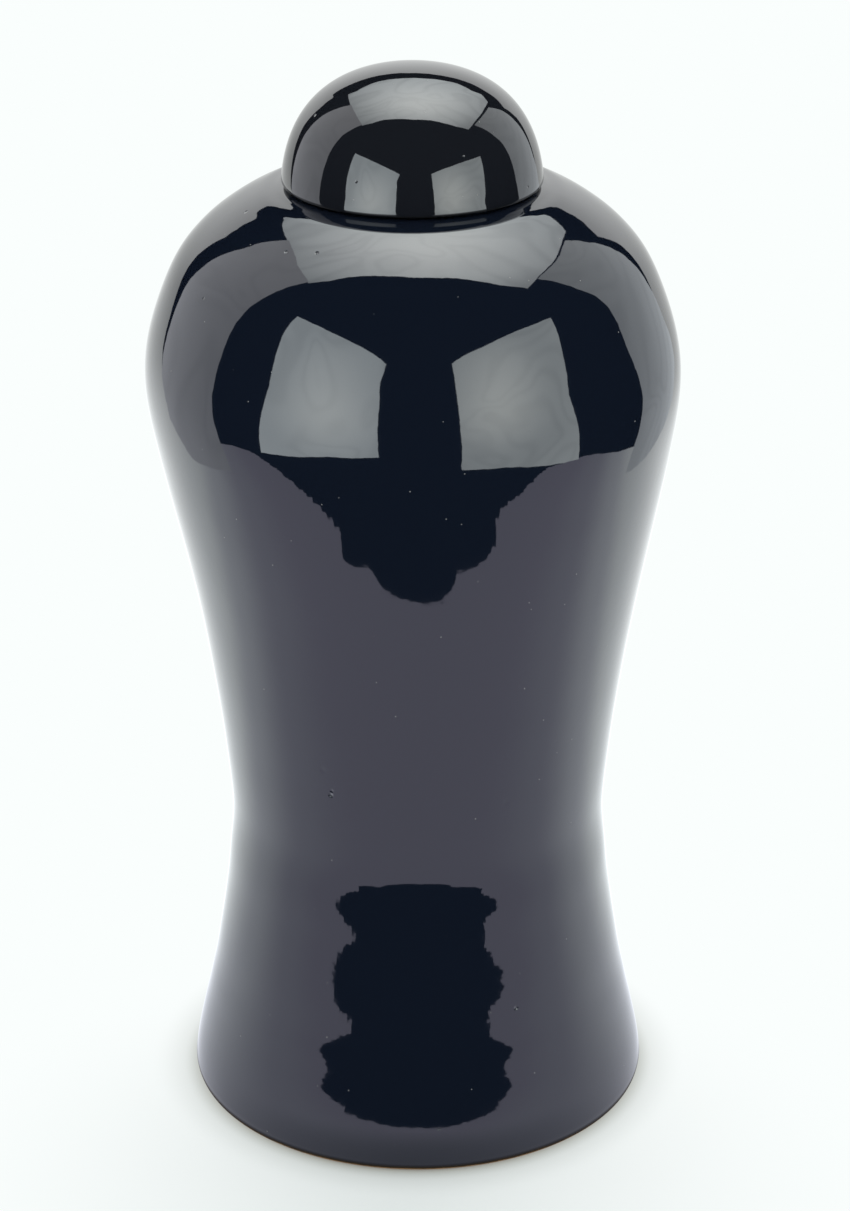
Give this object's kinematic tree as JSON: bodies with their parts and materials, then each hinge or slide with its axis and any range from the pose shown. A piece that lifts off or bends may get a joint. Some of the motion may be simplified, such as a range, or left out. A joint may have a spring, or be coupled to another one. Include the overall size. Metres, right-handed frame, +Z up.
{
  "type": "funeral urn",
  "caption": "Waisted ceramic funeral urn with high rounded shoulders and a domed lift-off lid, in near-black midnight blue gloss glaze.",
  "frame": {"origin": "centre of the foot ring, on the surface that the urn stands on", "axes": "+Z up along the axis that jar and lid are turned about; the pictured side faces -Y"},
  "size_m": [0.157, 0.157, 0.3209],
  "materials": {
    "midnight_glaze": "deep gloss glaze, near black with a midnight blue cast, thin and olive brown at the foot",
    "lid_glaze": "deep gloss black glaze, thin and olive brown along the rim"
  },
  "bodies": {
    "root": {"jar": "midnight_glaze", "lid": "lid_glaze"}
  },
  "joints": []
}
